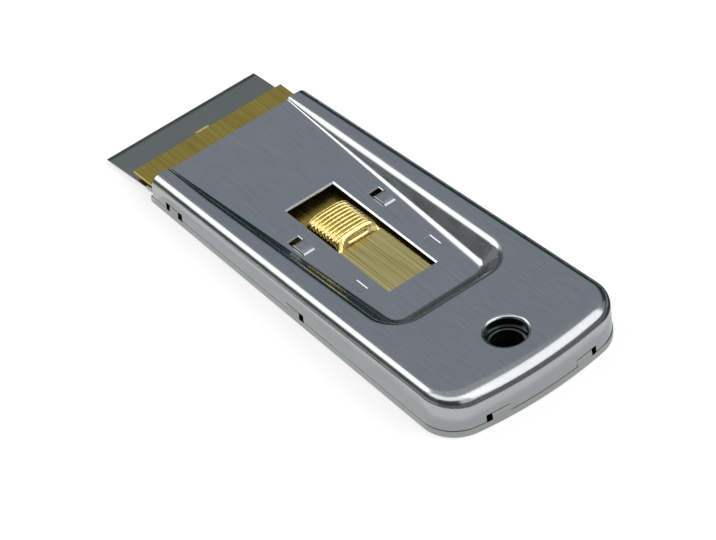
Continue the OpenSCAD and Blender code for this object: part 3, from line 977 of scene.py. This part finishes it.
def metal(name, dark, light, rough, grain, bump, blotch=0.5, streak=1.6, painted_shade_above=None):
    """A worn sheet-metal finish; grain is the noise's frequency per metre along X, Y and Z."""
    finish = bpy.data.materials.new(name)
    finish.use_nodes = True
    graph = Graph(finish.node_tree)
    shader = finish.node_tree.nodes["Principled BSDF"]
    spot = graph.node("ShaderNodeTexCoord", out="Object")
    stretched = graph.node("ShaderNodeMapping", None, {"Vector": spot, "Scale": grain})
    fine = graph.node("ShaderNodeTexNoise", None, {"Vector": stretched, "Scale": 1.0, "Detail": 4.0,
                                                   "Roughness": 0.6})
    broad = graph.node("ShaderNodeTexNoise", None, {"Vector": spot, "Scale": BROAD_SCALE, "Detail": 3.0})
    tone = ((fine - 0.5) * streak + (broad - 0.5) * blotch + 0.5).clipped()
    colour = graph.mix(tone, (*dark, 1), (*light, 1))
    # Painted shade: above that height the colour turns near black, standing in for the shade deep in the hang
    # hole
    if painted_shade_above:
        painted_shade = graph.parts(spot)[2].step((painted_shade_above - PAINTED_SHADE_RUN) * MM, painted_shade_above * MM)
        colour = graph.mix(painted_shade, colour, PAINTED_SHADE_COLOUR)
    graph.put(shader.inputs["Base Color"], colour)
    uneven = (fine - 0.5) * FINE_ROUGH + (broad - 0.5) * BROAD_ROUGH
    graph.put(shader.inputs["Roughness"], uneven + rough)
    shader.inputs["Metallic"].default_value = 1.0
    ridges = graph.node("ShaderNodeBump", None, {"Height": fine, "Strength": bump, "Distance": BUMP_DEPTH})
    graph.put(shader.inputs["Normal"], ridges)
    return finish


cover_steel = metal("cover_steel", (0.36, 0.37, 0.375), (0.45, 0.46, 0.465), rough=0.18,
                    grain=(120, 5200, 5200), bump=0.1, streak=2.6)
# The base's collar gets painted shade on its top, down in the hang hole
base_steel = metal("base_steel", (0.34, 0.35, 0.35), (0.44, 0.445, 0.445), rough=0.22,
                   grain=(120, 5200, 5200), bump=0.12, painted_shade_above=collar_h)
leaf_brass = metal("leaf_brass", (0.60, 0.44, 0.13), (1.0, 0.83, 0.38), rough=0.14,
                   grain=(40, 3000, 3000), bump=0.12, streak=3.2)
slide_brass = metal("slide_brass", (0.38, 0.27, 0.05), (0.66, 0.49, 0.13), rough=0.26,
                    grain=(60, 2600, 2600), bump=0.25)
rivet_brass = metal("rivet_brass", (0.55, 0.42, 0.16), (0.75, 0.60, 0.26), rough=0.25,
                    grain=(2500, 2500, 2500), bump=0.1)
spine_steel = metal("spine_steel", (0.42, 0.43, 0.44), (0.55, 0.56, 0.57), rough=0.3,
                    grain=(4000, 200, 4000), bump=0.1)
blade_steel = metal("blade_steel", (0.31, 0.315, 0.285), (0.375, 0.38, 0.34), rough=0.2,
                    grain=(6000, 150, 6000), bump=0.06)
print("7 metal finishes")

# %% [markdown]
# ## Growing the leaf and the rivets
# The leaf tree gives one skin, so Solidify adds the sheet's thickness and a cutter opens the two
# rivet holes. A rivet is one turned shape: it is spun once as a mesh, and a tree sets a copy on
# every point of a small point mesh.

# %% Leaf
leaf_rivet_x, leaf_rivet_y = -62.30, 2.7
leaf_hole_r, drill_len = 1.05, 4
thumb_hump = grow("thumb_hump", bpy.data.meshes.new("leaf_seed"), graph, leaf_sizes, leaf_brass)
thicken(thumb_hump, leaf_t)
drills = bmesh.new()
for side in (-1, 1):
    made = bmesh.ops.create_cone(drills, cap_ends=True, segments=48, depth=drill_len * MM,
                                 radius1=leaf_hole_r * MM, radius2=leaf_hole_r * MM)
    shift = (front_x + leaf_rivet_x * MM, side * leaf_rivet_y * MM, (leaf_top - leaf_joggle_drop) * MM)
    bmesh.ops.translate(drills, verts=made["verts"], vec=shift)
drill_mesh = bpy.data.meshes.new("drills")
drills.to_mesh(drill_mesh)
drills.free()
drill = add_object("drills", drill_mesh)
holes = thumb_hump.modifiers.new("holes", "BOOLEAN")
holes.object = drill
bake(thumb_hump)
bpy.data.objects.remove(drill)
smooth(thumb_hump, 50)
print("thumb_hump:", len(thumb_hump.data.polygons), "faces")

# %% Rivets
rivet_r, rivet_head_r, rivet_head_h = 0.9, 1.7, 0.3
rivet_sides, dome = 40, 0.12
carrier_top, carrier_z, jaw_t = 3.3, 2.8, 0.4
leaf_head_gap = 0.2
leaf_head_z = leaf_top - leaf_joggle_drop + leaf_head_gap
jaw_rivet_x, jaw_rivet_y = -8.28, 12.0


def turned_rivet(name, top, under):
    """A rivet spun from its half section, with eased heads, standing at the origin."""
    head = [(0, rivet_head_h), (rivet_head_r - dome * 3, rivet_head_h),
            (rivet_head_r - dome, rivet_head_h - dome * 0.6), (rivet_head_r, rivet_head_h - dome * 2),
            (rivet_head_r, 0), (rivet_r, 0)]
    half = [(r, top + z) for r, z in head] + [(r, under - z) for r, z in reversed(head)]
    shape = bmesh.new()
    spots = [shape.verts.new((r * MM, 0, z * MM)) for r, z in half]
    edges = [shape.edges.new(pair) for pair in zip(spots, spots[1:])]
    bmesh.ops.spin(shape, geom=spots + edges, axis=(0, 0, 1), cent=(0, 0, 0), steps=rivet_sides,
                   angle=2 * math.pi)
    bmesh.ops.remove_doubles(shape, verts=shape.verts, dist=MERGE)
    bmesh.ops.recalc_face_normals(shape, faces=shape.faces)
    mesh = bpy.data.meshes.new(name)
    shape.to_mesh(mesh)
    shape.free()
    return mesh


def rivets(name, x, y, top, under):
    """Copies of one rivet on each point, made by a geometry tree."""
    master = add_object("rivet_master", turned_rivet("rivet_master", top, under))
    sizes = {"Scale": 1.0}
    graph, size = new_tree(name + "_tree", sizes)
    one = graph.node("GeometryNodeObjectInfo", None, {"Object": master}, out="Geometry")
    copies = graph.node("GeometryNodeInstanceOnPoints", None,
                        {"Points": size["Geometry"], "Instance": one, "Scale": size["Scale"]})
    end_tree(graph, copies, size["Finish"])
    seeds = bpy.data.meshes.new(name)
    seeds.from_pydata([(front_x + x * MM, side * y * MM, 0) for side in (-1, 1)], [], [])
    made = grow(name, seeds, graph, sizes, rivet_brass)
    bpy.data.objects.remove(master)
    smooth(made)
    return made


jaw_pins = rivets("jaw_pins", jaw_rivet_x, jaw_rivet_y, carrier_top, carrier_z - jaw_t)
leaf_pins = rivets("leaf_pins", leaf_rivet_x, leaf_rivet_y, leaf_head_z, carrier_z)
print("rivets:", len(jaw_pins.data.polygons), "and", len(leaf_pins.data.polygons), "faces")

# %% [markdown]
# ## Slide, jaw and spine
# These stampings are right as they come from the drawing, but a real stamped edge is never razor
# sharp. A copy is merged, its flat faces are cleaned, and a small bevel eases each edge so that it
# catches the light. The large faces are shaded flat, so that the bevels don't bend their reflections.

# %% Eased stampings
FLAT_AREA = 1.0 * MM * MM
DRAWN_MERGE = 0.001 * MM
FLAT_TURN, BEVEL_TURN = 0.5, 35


def eased(node, name, width, finish):
    """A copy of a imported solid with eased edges."""
    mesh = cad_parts[node].data.copy()
    shape = bmesh.new()
    shape.from_mesh(mesh)
    bmesh.ops.remove_doubles(shape, verts=shape.verts, dist=DRAWN_MERGE)
    bmesh.ops.dissolve_limit(shape, angle_limit=math.radians(FLAT_TURN), verts=shape.verts, edges=shape.edges)
    shape.to_mesh(mesh)
    shape.free()
    made = add_object(name, mesh)
    ease = made.modifiers.new("ease", "BEVEL")
    ease.width = width * MM
    ease.segments = 2
    ease.limit_method = "ANGLE"
    ease.angle_limit = math.radians(BEVEL_TURN)
    mesh.materials.clear()
    mesh.materials.append(finish)
    bake(made)
    smooth(made, 40)
    for face in made.data.polygons:
        if face.area > FLAT_AREA:
            face.use_smooth = False
    return made


slide_plate = eased("blade_carrier", "slide_plate", 0.07, slide_brass)
jaw_plate = eased("lower_jaw", "jaw_plate", 0.05, slide_brass)
folded_spine = eased("blade_spine", "folded_spine", 0.08, spine_steel)
print("slide_plate:", len(slide_plate.data.polygons), "faces")

# %% [markdown]
# ## Putting the pieces on their bodies
# Every piece rides on the body that carries it and stands in for its imported solid. The blade's
# solid is right as it is and only gets its finish.

# %% Bodies, replaced solids and finishes
top_cover.data.materials.append(cover_steel)
base_pan.data.materials.append(base_steel)
plan = [(top_cover, "case", "top_shell", "cover_steel"),
        (base_pan, "case", "bottom_shell", "base_steel"),
        (thumb_hump, "leaf", "thumb_leaf", "leaf_brass"),
        (slide_plate, "slide", "blade_carrier", "slide_brass"),
        (jaw_plate, "slide", "lower_jaw", "slide_brass"),
        (folded_spine, "slide", "blade_spine", "spine_steel"),
        (jaw_pins, "slide", "jaw_rivets", "rivet_brass"),
        (leaf_pins, "slide", "leaf_rivets", "rivet_brass")]
for made, body, node, slot_name in plan:
    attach(made, body)
    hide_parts(node)
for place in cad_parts["razor_blade"].material_slots:
    place.material = blade_steel
print(len(plan), "pieces placed")
